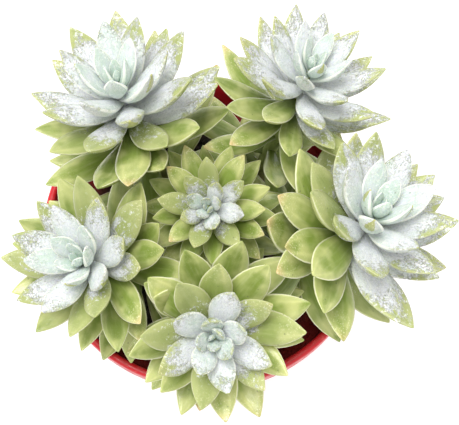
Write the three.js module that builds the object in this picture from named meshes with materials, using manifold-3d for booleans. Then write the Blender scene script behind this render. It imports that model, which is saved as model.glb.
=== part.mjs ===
import * as THREE from "three";
import { mergeVertices } from "three/addons/utils/BufferGeometryUtils.js";
import Module from "manifold-3d";

const wasm = await Module();
wasm.setup();

// Lengths are in millimetres and angles in degrees. The origin is the middle of the pot's underside,
// and +Z is up.

// Plastic pot
const potHeight = 90;
const rimDiameter = 110;
const baseDiameter = 78;
const lipWidth = 2.6;
const collarHeight = 9;
const collarStep = 1.2;
const collarTaper = 0.3;
const collarUndercut = 0.4;
const insideStep = 1;
const footRounding = 1.5;
const wallThickness = 1.6;
const floorThickness = 2;
const drainHoles = 8;
const drainDiameter = 7;
const drainCircleRadius = 27;
const potSides = 36;
const lipSteps = 4;
const holeSides = 12;

// Potting soil
const soilTop = 76;
const soilCrown = 2.5;
const soilLump = 0.7;
const soilSides = 28;
const soilRings = 5;
const fitGap = 0.3;
const rootDepth = 20;

// Stems
const stemRootRadius = 3.4;
const stemTipRadius = 1;
const stemTaper = 1.5;
const stemSides = 6;
const stemSteps = 9;
const uprightPull = 26;
const tipPull = 30;

// Leaves: each one stands a golden angle round the stem from the one above it
const goldenAngle = 137.508;
const crowdedLeaves = 35;
const crowdedSpacing = 0.66;
const looseSpacing = 2.2;
const youngestLean = 6;
const oldestLean = 80;
const leanGrowth = 17;
const droopPerLeaf = 1;
const youngestLength = 0.2;
const lengthGrowth = 9;
const typicalLength = 25;
const oldLengthening = 0.006;
const youngBroadening = 0.1;
const leafThicknessRatio = 0.5;
const rootThickness = 0.55;
const thinningPower = 3;
const thinningRoundness = 0.55;
const youngPlumpness = 0.15;
const upperShare = 0.3;
const baseWidthShare = 0.34;
const widestAt = 0.56;
const tipSharpness = 1.9;
const incurve = 0.045;
const turnScatter = 5;
const leanScatter = 3.5;
const lengthScatter = 0.08;

// A leaf's skin runs over rings at these shares of its length, fewer on the crowded young leaves and the
// shaded old ones, and its root goes into the stem, further the wider it is
const leafRoot = 1.3;
const leafRootPerWidth = 0.1;
const leafRings = [0, 0.45, 0.78];
const hiddenLeafRings = [0, 0.6];
const firstOpenLeaf = 29;
const lastOpenLeaf = 46;

// Beads that tell how near two plants come: where they sit in a leaf, and how many follow a stem
const beadShares = [0.1, 0.25, 0.4, 0.55, 0.7, 0.84, 0.96];
const beadsAcross = [-1, -0.33, 0.33, 1];
const beadDrop = 0.4;
const stemBeadSteps = 30;

// Room kept between leaves of different plants, and how a leaf is bent to keep it: [raised, turned]
const clearance = 0.6;
const dodges = [
  [0, 0], [7, 0], [-7, 0], [0, 8], [0, -8], [7, 8], [7, -8], [-7, 8], [-7, -8],
  [14, 0], [-14, 0], [0, 16], [0, -16], [14, 14], [14, -14], [-14, 14], [-14, -14],
  [22, 0], [-22, 0], [0, 24], [0, -24], [30, 0], [30, 18], [30, -18],
];
const shortenings = [1, 0.85, 0.7];

// Plants: root is where the stem leaves the soil, tip is where its growth ends, lean and towards tilt
// that end, and turn is where the youngest leaf points
const plants = [
  { name: "leafy_stem_right", root: [22, -8], tip: [46.1, -19.2, 155.1], lean: 14.5, towards: 55.6,
    turn: 356.2, longest: 29, breadth: 0.39, leaves: 58, seed: 325 },
  { name: "leafy_stem_back_left", root: [-13, 15], tip: [-23.3, 18.5, 154.4], lean: 11.3, towards: 98.4,
    turn: 306.5, longest: 30.4, breadth: 0.35, leaves: 62, seed: 326 },
  { name: "leafy_stem_back_right", root: [16, 15], tip: [30.4, 21.8, 156.7], lean: 10.5, towards: 33.9,
    turn: 88.9, longest: 26.3, breadth: 0.32, leaves: 58, seed: 46 },
  { name: "leafy_stem_front", root: [1, -26], tip: [3.7, -50.2, 141.5], lean: 20.4, towards: -89.3,
    turn: 133.7, longest: 27.1, breadth: 0.39, leaves: 53, seed: 182 },
  { name: "leafy_stem_left", root: [-20, -14], tip: [-33, -28.3, 140.7], lean: 13.8, towards: -156.2,
    turn: 168.1, longest: 27.2, breadth: 0.37, leaves: 54, seed: 182 },
  { name: "leafy_stem_centre", root: [1, -4], tip: [1.6, -12.2, 138], lean: 18, towards: -102,
    turn: 184, longest: 20.8, breadth: 0.36, leaves: 44, seed: 67 },
];

const radians = THREE.MathUtils.degToRad;

// Even draws from -1 to 1, the same for the same seed
function seededDraws(seed) {
  let state = seed;
  return () => {
    state = (state * 16807) % 2147483647;
    return (2 * state) / 2147483647 - 1;
  };
}

function solidFrom(geometry) {
  geometry.deleteAttribute("normal");
  geometry.deleteAttribute("uv");
  const merged = mergeVertices(geometry, 1e-4);
  return new wasm.Manifold(new wasm.Mesh({
    numProp: 3,
    vertProperties: new Float32Array(merged.attributes.position.array),
    triVerts: new Uint32Array(merged.index.array),
  }));
}

function geometryFrom(solid) {
  const mesh = solid.getMesh();
  const geometry = new THREE.BufferGeometry();
  geometry.setAttribute("position", new THREE.BufferAttribute(mesh.vertProperties, 3));
  geometry.setIndex(new THREE.BufferAttribute(mesh.triVerts, 1));
  geometry.computeVertexNormals();
  return geometry;
}

// A closed skin over rings of points that run anticlockwise seen from the far end, closed at the near
// end by a flat cap and at the far end by a point
function skinOverRings(rings, point) {
  const sides = rings[0].length;
  const vertices = [...rings.flat(), point];
  const faces = [];
  for (let side = 1; side < sides - 1; side += 1) {
    faces.push(0, side + 1, side);
  }
  for (let ring = 0; ring < rings.length - 1; ring += 1) {
    for (let side = 0; side < sides; side += 1) {
      const here = ring * sides + side;
      const beside = ring * sides + ((side + 1) % sides);
      faces.push(here, beside, beside + sides, here, beside + sides, here + sides);
    }
  }
  const last = (rings.length - 1) * sides;
  for (let side = 0; side < sides; side += 1) {
    faces.push(last + side, last + ((side + 1) % sides), vertices.length - 1);
  }
  const geometry = new THREE.BufferGeometry();
  const places = vertices.flatMap((vertex) => vertex.toArray());
  geometry.setAttribute("position", new THREE.Float32BufferAttribute(places, 3));
  geometry.setIndex(faces);
  return geometry;
}

// Pot wall radius at a height, on the outside below the collar
function potOuterRadius(height) {
  const underCollar = rimDiameter / 2 - collarStep;
  const rise = height / (potHeight - collarHeight);
  return THREE.MathUtils.lerp(baseDiameter / 2, underCollar, Math.min(rise, 1));
}

function potInnerRadius(height) {
  return Math.min(potOuterRadius(height) - wallThickness, rimDiameter / 2 - lipWidth);
}

function makePot() {
  const outside = rimDiameter / 2;
  const inside = outside - lipWidth;
  const lipRadius = lipWidth / 2;
  const profile = [new THREE.Vector2(0, 0), new THREE.Vector2(baseDiameter / 2 - footRounding, 0)];
  profile.push(new THREE.Vector2(potOuterRadius(footRounding), footRounding));
  const collarFoot = potHeight - collarHeight;
  profile.push(new THREE.Vector2(potOuterRadius(collarFoot) - collarUndercut, collarFoot));
  profile.push(new THREE.Vector2(outside - collarTaper, collarFoot));
  for (let step = 0; step <= lipSteps; step += 1) {
    const angle = (Math.PI * step) / lipSteps;
    const centre = outside - lipRadius;
    profile.push(new THREE.Vector2(
      centre + lipRadius * Math.cos(angle),
      potHeight - lipRadius + lipRadius * Math.sin(angle),
    ));
  }
  const stepFoot = collarFoot - insideStep;
  profile.push(new THREE.Vector2(inside, collarFoot + insideStep));
  profile.push(new THREE.Vector2(potInnerRadius(stepFoot), stepFoot));
  profile.push(new THREE.Vector2(potInnerRadius(floorThickness), floorThickness));
  profile.push(new THREE.Vector2(0, floorThickness));
  const lathe = new THREE.LatheGeometry(profile, potSides);
  lathe.rotateX(Math.PI / 2);
  let pot = solidFrom(lathe);
  for (let hole = 0; hole < drainHoles; hole += 1) {
    const radius = drainDiameter / 2;
    const drill = new THREE.CylinderGeometry(radius, radius, 3 * floorThickness, holeSides);
    drill.rotateX(Math.PI / 2);
    const angle = (2 * Math.PI * hole) / drainHoles;
    drill.translate(drainCircleRadius * Math.cos(angle), drainCircleRadius * Math.sin(angle), 0);
    pot = pot.subtract(solidFrom(drill));
  }
  return geometryFrom(pot);
}

// Height of the soil's surface: a low crown with soft lumps
function soilHeight(x, y) {
  const outward = Math.hypot(x, y) / potInnerRadius(soilTop);
  const lumps = Math.sin(0.31 * x + 1.3) * Math.cos(0.27 * y) + 0.5 * Math.sin(0.55 * (x - y));
  return soilTop + (soilCrown + soilLump * lumps) * (1 - outward ** 4);
}

function makeSoil() {
  const bottom = floorThickness + fitGap;
  const bottomRadius = potInnerRadius(bottom) - fitGap;
  const topRadius = potInnerRadius(soilTop) - fitGap;
  const profile = [new THREE.Vector2(0, bottom), new THREE.Vector2(bottomRadius, bottom)];
  for (let ring = 0; ring <= soilRings; ring += 1) {
    profile.push(new THREE.Vector2(topRadius * (1 - ring / soilRings), soilTop));
  }
  const lathe = new THREE.LatheGeometry(profile, soilSides);
  lathe.rotateX(Math.PI / 2);
  const positions = lathe.attributes.position;
  for (let i = 0; i < positions.count; i += 1) {
    const inside = Math.hypot(positions.getX(i), positions.getY(i)) < topRadius - 0.1;
    if (positions.getZ(i) > soilTop - 0.1 && inside) {
      positions.setZ(i, soilHeight(positions.getX(i), positions.getY(i)));
    }
  }
  let soil = solidFrom(lathe);
  const holeDepth = rootDepth + fitGap;
  const holeTop = soilTop + 3 * soilCrown;
  for (const plant of plants) {
    const radius = stemRootRadius + fitGap;
    const drill = new THREE.CylinderGeometry(radius, radius, holeTop - soilTop + holeDepth, holeSides);
    drill.rotateX(Math.PI / 2);
    drill.translate(plant.root[0], plant.root[1], (holeTop + soilTop - holeDepth) / 2);
    soil = soil.subtract(solidFrom(drill));
  }
  return geometryFrom(soil);
}

// The stem runs straight up through the soil, then bends over to its tip
function stemOf(plant) {
  const lean = radians(plant.lean);
  const towards = radians(plant.towards);
  const axis = new THREE.Vector3(
    Math.sin(lean) * Math.cos(towards),
    Math.sin(lean) * Math.sin(towards),
    Math.cos(lean),
  );
  const root = new THREE.Vector3(plant.root[0], plant.root[1], soilTop + soilCrown);
  const tip = new THREE.Vector3(...plant.tip);
  const curve = new THREE.CubicBezierCurve3(
    root,
    root.clone().addScaledVector(new THREE.Vector3(0, 0, 1), uprightPull),
    tip.clone().addScaledVector(axis, -tipPull),
    tip,
  );
  return { root, curve, length: curve.getLength() };
}

// Two directions square to a stem: the first leans to +X and the second to +Y
function squareTo(direction) {
  const back = new THREE.Vector3(0, 1, 0).addScaledVector(direction, -direction.y).normalize();
  const right = new THREE.Vector3().crossVectors(back, direction);
  return [right, back];
}

function stemRadius(share) {
  return THREE.MathUtils.lerp(stemRootRadius, stemTipRadius, share ** stemTaper);
}

function ringAround(centre, direction, radius) {
  const [right, back] = squareTo(direction);
  return Array.from({ length: stemSides }, (_, side) => {
    const angle = (2 * Math.PI * side) / stemSides;
    return centre.clone()
      .addScaledVector(right, radius * Math.cos(angle))
      .addScaledVector(back, radius * Math.sin(angle));
  });
}

function stemSolid(stem) {
  const up = new THREE.Vector3(0, 0, 1);
  const foot = stem.root.clone().setZ(soilTop - rootDepth);
  const rings = [ringAround(foot, up, stemRootRadius)];
  for (let step = 0; step <= stemSteps; step += 1) {
    const share = step / stemSteps;
    rings.push(ringAround(stem.curve.getPointAt(share), stem.curve.getTangentAt(share), stemRadius(share)));
  }
  const top = stem.curve.getPointAt(1).addScaledVector(stem.curve.getTangentAt(1), stemTipRadius);
  return solidFrom(skinOverRings(rings, top));
}

// Where leaf number count stands on its stem, counted from the youngest, and how long and steep it is
function leafPlan(plant, stem, count, draw) {
  const scale = plant.longest / typicalLength;
  const crowded = Math.min(count, crowdedLeaves);
  const loose = count - crowded;
  const below = scale * (crowdedSpacing * crowded + looseSpacing * loose);
  const share = 1 - below / stem.length;
  const young = Math.exp(-count / lengthGrowth);
  const growth = 1 - (1 - youngestLength) * young + oldLengthening * loose;
  return {
    axis: stem.curve.getTangentAt(share),
    node: stem.curve.getPointAt(share),
    stemRadius: stemRadius(share) * (1 - young),
    turn: plant.turn + goldenAngle * count + turnScatter * draw(),
    lean: oldestLean - (oldestLean - youngestLean) * Math.exp(-count / leanGrowth)
      + droopPerLeaf * loose + leanScatter * draw(),
    length: plant.longest * growth * (1 + lengthScatter * draw()),
    widthRatio: plant.breadth + youngBroadening * young,
    plumpness: 1 + youngPlumpness * young,
    rings: count < firstOpenLeaf || count > lastOpenLeaf ? hiddenLeafRings : leafRings,
  };
}

// A leaf on its stem, raised and turned away from its place by a dodge, and shortened
function placeLeaf(plan, [raised, turned], shortening) {
  const [right, back] = squareTo(plan.axis);
  const turn = radians(plan.turn + turned);
  const lean = radians(Math.max(plan.lean - raised, youngestLean));
  const outward = right.clone().multiplyScalar(Math.cos(turn)).addScaledVector(back, Math.sin(turn));
  const along = plan.axis.clone().multiplyScalar(Math.cos(lean)).addScaledVector(outward, Math.sin(lean));
  const up = plan.axis.clone().multiplyScalar(Math.sin(lean)).addScaledVector(outward, -Math.cos(lean));
  const length = plan.length * shortening;
  return {
    start: plan.node.clone().addScaledVector(outward, plan.stemRadius),
    along,
    up,
    side: new THREE.Vector3().crossVectors(along, up),
    length,
    width: length * plan.widthRatio,
    plumpness: plan.plumpness,
    rings: plan.rings,
  };
}

// Half the leaf's width at a share of its length: full at widestAt, narrow at the stem, pointed at the tip
function leafHalfWidth(leaf, share) {
  if (share < widestAt) {
    const rise = Math.sin((Math.PI / 2) * (share / widestAt));
    return (leaf.width / 2) * (baseWidthShare + (1 - baseWidthShare) * rise);
  }
  const fall = (share - widestAt) / (1 - widestAt);
  return (leaf.width / 2) * (1 - fall ** tipSharpness);
}

function leafThickness(leaf, share) {
  const body = rootThickness + (1 - rootThickness) * Math.sin(Math.PI * share);
  const thinning = (1 - share ** thinningPower) ** thinningRoundness;
  return leaf.width * leaf.plumpness * leafThicknessRatio * body * thinning;
}

// A point in the leaf: share along it, sideways and raised from its middle surface, which curves inward
function leafPoint(leaf, share, sideways, raised) {
  const sag = 4 * incurve * leaf.length * share * (1 - share);
  return leaf.start.clone()
    .addScaledVector(leaf.along, leaf.length * share)
    .addScaledVector(leaf.side, sideways)
    .addScaledVector(leaf.up, raised - sag);
}

function leafSolid(leaf) {
  const rings = leaf.rings.map((share) => {
    const half = leafHalfWidth(leaf, share);
    const above = upperShare * leafThickness(leaf, share);
    const below = (1 - upperShare) * leafThickness(leaf, share);
    return [[-half, 0], [0, above], [half, 0], [0, -below]].map(
      ([sideways, raised]) => leafPoint(leaf, share, sideways, raised),
    );
  });
  const sunk = leafRoot + leafRootPerWidth * leaf.width;
  rings[0].forEach((corner) => corner.addScaledVector(leaf.along, -sunk));
  return solidFrom(skinOverRings(rings, leafPoint(leaf, 1, 0, 0)));
}

// Beads that fill a leaf or a stem, to tell how near two plants come
function leafBeads(leaf) {
  const beads = [];
  for (const share of beadShares) {
    const radius = leafThickness(leaf, share) / 2;
    const reach = Math.max(leafHalfWidth(leaf, share) - radius, 0);
    for (const across of beadsAcross) {
      beads.push({ centre: leafPoint(leaf, share, across * reach, -beadDrop * radius), radius });
    }
  }
  return beads;
}

function stemBeads(stem) {
  return Array.from({ length: stemBeadSteps + 1 }, (_, step) => ({
    centre: stem.curve.getPointAt(step / stemBeadSteps),
    radius: stemRadius(step / stemBeadSteps),
  }));
}

function clearOfPot(bead) {
  const outward = Math.hypot(bead.centre.x, bead.centre.y) + bead.radius + clearance;
  const lowest = bead.centre.z - bead.radius - clearance;
  const overSoil = lowest > soilTop + soilCrown + soilLump;
  return overSoil && (lowest > potHeight || outward < potInnerRadius(lowest));
}

function clearOfBeads(bead, others) {
  return others.every((other) => {
    const reach = bead.radius + other.radius + clearance;
    return bead.centre.distanceToSquared(other.centre) > reach * reach;
  });
}

// The first dodge that brings a leaf clear of the pot and of every other plant, or none
function bentClear(plan, others) {
  for (const shortening of shortenings) {
    for (const dodge of dodges) {
      const leaf = placeLeaf(plan, dodge, shortening);
      if (leafBeads(leaf).every((bead) => clearOfPot(bead) && clearOfBeads(bead, others))) {
        return leaf;
      }
    }
  }
  return null;
}

// Leaves are placed from the youngest down, one on each plant in turn, so the old ones make room
function growPlants() {
  const grown = plants.map((plant) => {
    const stem = stemOf(plant);
    return { plant, stem, draw: seededDraws(plant.seed), leaves: [], beads: stemBeads(stem) };
  });
  const mostLeaves = Math.max(...plants.map((plant) => plant.leaves));
  for (let count = 0; count < mostLeaves; count += 1) {
    for (const one of grown.filter(({ plant }) => count < plant.leaves)) {
      const others = grown.filter((other) => other !== one).flatMap((other) => other.beads);
      const leaf = bentClear(leafPlan(one.plant, one.stem, count, one.draw), others);
      if (leaf) {
        one.leaves.push(leaf);
        one.beads.push(...leafBeads(leaf));
      }
    }
  }
  return grown;
}

function plantGeometry(one) {
  const solids = [stemSolid(one.stem), ...one.leaves.map(leafSolid)];
  return geometryFrom(wasm.Manifold.union(solids));
}

function namedMesh(name, geometry, color, roughness) {
  const mesh = new THREE.Mesh(geometry, new THREE.MeshStandardMaterial({ color, roughness, metalness: 0 }));
  mesh.name = name;
  return mesh;
}

const model = new THREE.Group();
model.add(namedMesh("pot", makePot(), "#d3303b", 0.35));
model.add(namedMesh("soil", makeSoil(), "#2b211a", 0.95));
const foliage = new THREE.Group();
for (const one of growPlants()) {
  foliage.add(namedMesh(one.plant.name, plantGeometry(one), "#b7c696", 0.6));
}
model.add(foliage);

export default model;
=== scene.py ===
from math import cos, exp, hypot, pi, radians, sin, sqrt
from random import Random

import bmesh
import bpy
import numpy as np
from mathutils import Matrix, Vector, noise


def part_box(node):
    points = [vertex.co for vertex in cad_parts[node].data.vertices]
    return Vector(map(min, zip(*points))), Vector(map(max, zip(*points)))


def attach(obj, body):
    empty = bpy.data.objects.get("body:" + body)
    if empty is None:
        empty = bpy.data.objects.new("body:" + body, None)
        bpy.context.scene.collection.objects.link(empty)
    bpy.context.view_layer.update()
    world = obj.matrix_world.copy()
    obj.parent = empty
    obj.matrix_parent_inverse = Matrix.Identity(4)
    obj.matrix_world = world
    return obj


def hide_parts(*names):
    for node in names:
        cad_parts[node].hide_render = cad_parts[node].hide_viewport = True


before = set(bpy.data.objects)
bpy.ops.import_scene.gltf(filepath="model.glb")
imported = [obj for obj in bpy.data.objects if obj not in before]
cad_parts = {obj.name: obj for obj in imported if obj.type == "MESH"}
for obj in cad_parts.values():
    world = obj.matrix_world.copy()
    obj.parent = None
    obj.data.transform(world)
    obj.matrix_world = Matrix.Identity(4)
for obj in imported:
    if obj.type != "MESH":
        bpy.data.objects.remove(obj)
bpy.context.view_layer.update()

# The growth rule is worked out in millimetres and degrees, and meshes are made in metres
MM = 0.001

# Camera: it looks down on the pot from the front
CAMERA_TARGET = (7.72, 3.88, 90)
CAMERA_DISTANCE = 300
CAMERA_ELEVATION = 69.84
CAMERA_LENS = 69.84

# Plastic pot
_, POT_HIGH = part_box("pot")
POT_HEIGHT = POT_HIGH.z / MM
RIM_RADIUS = POT_HIGH.x / MM
BASE_RADIUS = 39
LIP_WIDTH = 2.6
COLLAR_HEIGHT = 9
COLLAR_STEP = 1.2
COLLAR_TAPER = 0.3
COLLAR_UNDERCUT = 0.4
COLLAR_FOOT = POT_HEIGHT - COLLAR_HEIGHT
COLLAR_RADIUS = RIM_RADIUS - COLLAR_TAPER
LIP_INSIDE = RIM_RADIUS - LIP_WIDTH
INSIDE_STEP = 1
WALL_THICKNESS = 1.6
FLOOR_THICKNESS = 2
DRAIN_HOLES = 8
DRAIN_RADIUS = 3.5
DRAIN_CIRCLE_RADIUS = 27
DRAIN_SIDES = 32
DRAIN_BAND = 8
POT_SIDES = 144
SAME_RING = 0.05
LIP_ROUNDING = 1.15
COLLAR_ROUNDING = 0.35
FOOT_ROUNDING = 1.4
OVAL_WARP = 0.002
RIPPLE_WARP = 0.0012

# Potting soil
SOIL_TOP = 76
SOIL_CROWN = 2.5
SOIL_LUMP = 0.7
SOIL_CRUMBLE = 0.9
CRUMBLE_SCALE = 0.35
SOIL_SIDES = 96
SOIL_RINGS = 26
FIT_GAP = 0.3
ROOT_DEPTH = 20
CRUMB_MARGIN = 2.6
CRUMB_RISE = 0.1
CRUMB_TILT = 0.5

# Light through the wall reddens the soil: not at all this near the middle, and most this far out
RED_LIGHT_FROM = 36
RED_LIGHT_TO = 49

# Stems
STEM_ROOT_RADIUS = 3.4
STEM_TIP_RADIUS = 1
STEM_TAPER = 1.5
UPRIGHT_PULL = 26
TIP_PULL = 30
CURVE_STEPS = 201
CURVE_NUDGE = 1e-4
CORKY_BELOW = 95
GREEN_ABOVE = 125

# Leaves: each one stands a golden angle round the stem from the one above it
GOLDEN_ANGLE = 137.508
CROWDED_LEAVES = 35
CROWDED_SPACING = 0.66
LOOSE_SPACING = 2.2
YOUNGEST_LEAN = 6
OLDEST_LEAN = 80
LEAN_GROWTH = 17
DROOP_PER_LEAF = 1
YOUNGEST_LENGTH = 0.2
LENGTH_GROWTH = 9
TYPICAL_LENGTH = 25
OLD_LENGTHENING = 0.006
YOUNG_BROADENING = 0.1
LEAF_THICKNESS_RATIO = 0.5
YOUNG_PLUMPNESS = 0.15
UPPER_SHARE = 0.3
BASE_WIDTH_SHARE = 0.34
WIDEST_AT = 0.56
TIP_SHARPNESS = 1.9
ROOT_THICKNESS = 0.55
MIDDLE_SWELL = 0.45
THINNING_POWER = 3
THINNING_ROUNDNESS = 0.55
INCURVE = 0.045
TURN_SCATTER = 5
LEAN_SCATTER = 3.5
LENGTH_SCATTER = 0.08

# A leaf is drawn out of an eight-sided ring, over rings at these shares of its length, and then smoothed
LEAF_SIDES = 8
LEAF_FOOT = -0.1
LEAF_RINGS = (0, 0.14, 0.34, 0.54, 0.72, 0.87, 0.965)
LEAF_POINT = 1.006
SMOOTHING_ALLOWANCE = 1.07
SAME_PLACE = 1e-3
UPPER_HOLLOW = 0.022
MARGIN_CREASE = 0.75
KEEL_CREASE = 0.25

# Small ways in which each leaf differs: its twist in radians, the others as shares of its size
LEAF_TWIST = 0.16
LEAF_SWING = 0.03
LEAF_WAVE = 0.03

# Each leaf's grain has its own place in one pattern: this far on from the last leaf's, in this many rows
GRAIN_SHIFT = 40
GRAIN_ROWS = 7
GRAIN_ROW_SHIFT = 25

# Powder: it fades over this many leaves, sooner or later on each. Leaf number FULL_AGE has an age of 1.
POWDER_FADE = 12
POWDER_SCATTER = 2.5
FULL_AGE = 56
SKIN_ROUGHNESS = 0.26
POWDER_ROUGHNESS = 0.85

# Room kept between leaves of different plants, the beads that it is measured with, and how a leaf is
# bent to keep it: raised, turned
CLEARANCE = 0.6
BEAD_SHARES = (0.1, 0.25, 0.4, 0.55, 0.7, 0.84, 0.96)
BEADS_ACROSS = (-1, -0.33, 0.33, 1)
BEAD_DROP = 0.4
STEM_BEADS = 31
DODGES = [
    (0, 0), (7, 0), (-7, 0), (0, 8), (0, -8), (7, 8), (7, -8), (-7, 8), (-7, -8),
    (14, 0), (-14, 0), (0, 16), (0, -16), (14, 14), (14, -14), (-14, 14), (-14, -14),
    (22, 0), (-22, 0), (0, 24), (0, -24), (30, 0), (30, 18), (30, -18),
]
SHORTENINGS = (1, 0.85, 0.7)

# Studio: places and sizes are in metres
FLOOR_SIZE = 4
FLOOR_GREY = (0.35, 0.35, 0.35)
FLOOR_GLOW = 0.8
SKY_COLOUR = (1, 0.985, 0.96, 1)
SKY_STRENGTH = 0.9
LAMP_PLACE = (-0.15, 0, 1.1)
LAMP_TILT = -0.15
LAMP_SIZE = 0.45
LAMP_POWER = 9

# Plants: root, tip, lean, towards and turn place them. The youngest leaves are powdered: this many of
# them all round, and more_powder of them more on the side that powder_side names. densest is how much
# powder the whitest of them hold, from 0 to 1.
PLANTS = [
    dict(name="right", root=(22, -8), tip=(46.1, -19.2, 155.1), lean=14.5, towards=55.6, turn=356.2,
         longest=29, leaves=58, breadth=0.39, seed=325, powdered=31, densest=1,
         powder_side=20, more_powder=17),
    dict(name="back_left", root=(-13, 15), tip=(-23.3, 18.5, 154.4), lean=11.3, towards=98.4, turn=306.5,
         longest=30.4, leaves=62, breadth=0.35, seed=326, powdered=28, densest=1,
         powder_side=80, more_powder=9),
    dict(name="back_right", root=(16, 15), tip=(30.4, 21.8, 156.7), lean=10.5, towards=33.9, turn=88.9,
         longest=26.3, leaves=58, breadth=0.32, seed=46, powdered=31, densest=1,
         powder_side=40, more_powder=12),
    dict(name="front", root=(1, -26), tip=(3.7, -50.2, 141.5), lean=20.4, towards=-89.3, turn=133.7,
         longest=27.1, leaves=53, breadth=0.39, seed=182, powdered=16, densest=0.85,
         powder_side=-30, more_powder=2),
    dict(name="left", root=(-20, -14), tip=(-33, -28.3, 140.7), lean=13.8, towards=-156.2, turn=168.1,
         longest=27.2, leaves=54, breadth=0.37, seed=182, powdered=20, densest=0.96,
         powder_side=120, more_powder=4),
    dict(name="centre", root=(1, -4), tip=(1.6, -12.2, 138), lean=18, towards=-102, turn=184,
         longest=20.8, leaves=44, breadth=0.36, seed=67, powdered=13, densest=0.84,
         powder_side=30, more_powder=2),
]


# Even draws from -1 to 1, the same for the same seed
def seeded_draws(seed):
    state = seed
    while True:
        state = state * 16807 % 2147483647
        yield 2 * state / 2147483647 - 1


class Stem:
    """The middle line of a stem: straight up out of the soil, then over to its tip."""

    def __init__(self, plant):
        lean = radians(plant["lean"])
        towards = radians(plant["towards"])
        axis = np.array([sin(lean) * cos(towards), sin(lean) * sin(towards), cos(lean)])
        root = np.array([*plant["root"], SOIL_TOP + SOIL_CROWN])
        tip = np.array(plant["tip"], float)
        self.knots = np.array([root, root + [0, 0, UPRIGHT_PULL], tip - TIP_PULL * axis, tip])
        self.steps = np.linspace(0, 1, CURVE_STEPS)
        gaps = np.linalg.norm(np.diff(self.curve(self.steps), axis=0), axis=1)
        self.run = np.concatenate([[0], np.cumsum(gaps)])
        self.length = self.run[-1]

    def curve(self, t):
        t = np.asarray(t, float)[..., None]
        weights = [(1 - t) ** 3, 3 * t * (1 - t) ** 2, 3 * t * t * (1 - t), t ** 3]
        return np.concatenate(weights, axis=-1) @ self.knots

    def step_at(self, share):
        return np.interp(share * self.length, self.run, self.steps)

    def point(self, share):
        return self.curve(self.step_at(share))

    def direction(self, share):
        step = self.step_at(share)
        ahead = self.curve(min(step + CURVE_NUDGE, 1)) - self.curve(max(step - CURVE_NUDGE, 0))
        return ahead / np.linalg.norm(ahead)


def stem_radius(share):
    return STEM_ROOT_RADIUS + (STEM_TIP_RADIUS - STEM_ROOT_RADIUS) * share ** STEM_TAPER


# Half a leaf's width at a share of its length, for a leaf one wide: full at WIDEST_AT, pointed at the tip
def half_width(share):
    rise = np.sin(pi / 2 * np.minimum(share, WIDEST_AT) / WIDEST_AT)
    fall = np.maximum(share - WIDEST_AT, 0) / (1 - WIDEST_AT)
    return 0.5 * (BASE_WIDTH_SHARE + (1 - BASE_WIDTH_SHARE) * rise) * (1 - fall ** TIP_SHARPNESS)


# A leaf's thickness at a share of its length, for a leaf one wide
def thickness(share):
    body = ROOT_THICKNESS + MIDDLE_SWELL * np.sin(pi * share)
    return LEAF_THICKNESS_RATIO * body * np.maximum(1 - share ** THINNING_POWER, 0) ** THINNING_ROUNDNESS


class Leaf:
    """A leaf on its stem, raised and turned away from its place by a dodge, and shortened."""

    def __init__(self, plan, dodge, shortening):
        raised, turned = dodge
        axis = plan["axis"]
        back = np.array([0, 1, 0]) - axis * axis[1]
        back /= np.linalg.norm(back)
        right = np.cross(back, axis)
        turn = radians(plan["turn"] + turned)
        lean = radians(max(plan["lean"] - raised, YOUNGEST_LEAN))
        outward = right * cos(turn) + back * sin(turn)
        self.plan = plan
        self.outward = outward
        self.start = plan["node"] + outward * plan["stem_radius"]
        self.along = axis * cos(lean) + outward * sin(lean)
        self.up = axis * sin(lean) - outward * cos(lean)
        self.side = np.cross(self.along, self.up)
        self.length = plan["length"] * shortening
        self.width = self.length * plan["width_ratio"]

    def points(self, share, sideways, raised):
        """Points in the leaf: share along it, sideways and raised from its middle, which curves inward."""
        sag = 4 * INCURVE * self.length * share * (1 - share)
        return (self.start + np.outer(share * self.length, self.along)
                + np.outer(sideways, self.side) + np.outer(raised - sag, self.up))

    def beads(self):
        """Beads that fill the leaf, to tell how near it comes: rows of x, y, z and radius."""
        share = np.repeat(BEAD_SHARES, len(BEADS_ACROSS))
        across = np.tile(BEADS_ACROSS, len(BEAD_SHARES))
        radius = thickness(share) * self.width * self.plan["plumpness"] / 2
        reach = np.maximum(half_width(share) * self.width - radius, 0)
        return np.column_stack([self.points(share, across * reach, -BEAD_DROP * radius), radius])


# Where leaf number count stands on its stem, counted from the youngest, and how long and steep it is.
# Its share of the way up the stem is below 0 when the stem has no room left for it.
def leaf_plan(plant, stem, count, draws):
    crowded = min(count, CROWDED_LEAVES)
    loose = count - crowded
    scale = plant["longest"] / TYPICAL_LENGTH
    below = scale * (CROWDED_SPACING * crowded + LOOSE_SPACING * loose)
    share = 1 - below / stem.length
    young = exp(-count / LENGTH_GROWTH)
    turn = plant["turn"] + GOLDEN_ANGLE * count + TURN_SCATTER * next(draws)
    steepness = (OLDEST_LEAN - YOUNGEST_LEAN) * exp(-count / LEAN_GROWTH)
    lean = OLDEST_LEAN - steepness + DROOP_PER_LEAF * loose + LEAN_SCATTER * next(draws)
    growth = 1 - (1 - YOUNGEST_LENGTH) * young + OLD_LENGTHENING * loose
    return dict(
        count=count,
        share=share,
        axis=stem.direction(share),
        node=stem.point(share),
        stem_radius=stem_radius(max(share, 0)) * (1 - young),
        turn=turn,
        lean=lean,
        length=plant["longest"] * growth * (1 + LENGTH_SCATTER * next(draws)),
        width_ratio=plant["breadth"] + YOUNG_BROADENING * young,
        plumpness=1 + YOUNG_PLUMPNESS * young,
    )


def pot_outer_radius(height):
    rise = np.minimum(height / COLLAR_FOOT, 1)
    return BASE_RADIUS + (RIM_RADIUS - COLLAR_STEP - BASE_RADIUS) * rise


def pot_inner_radius(height):
    return np.minimum(pot_outer_radius(height) - WALL_THICKNESS, LIP_INSIDE)


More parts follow.
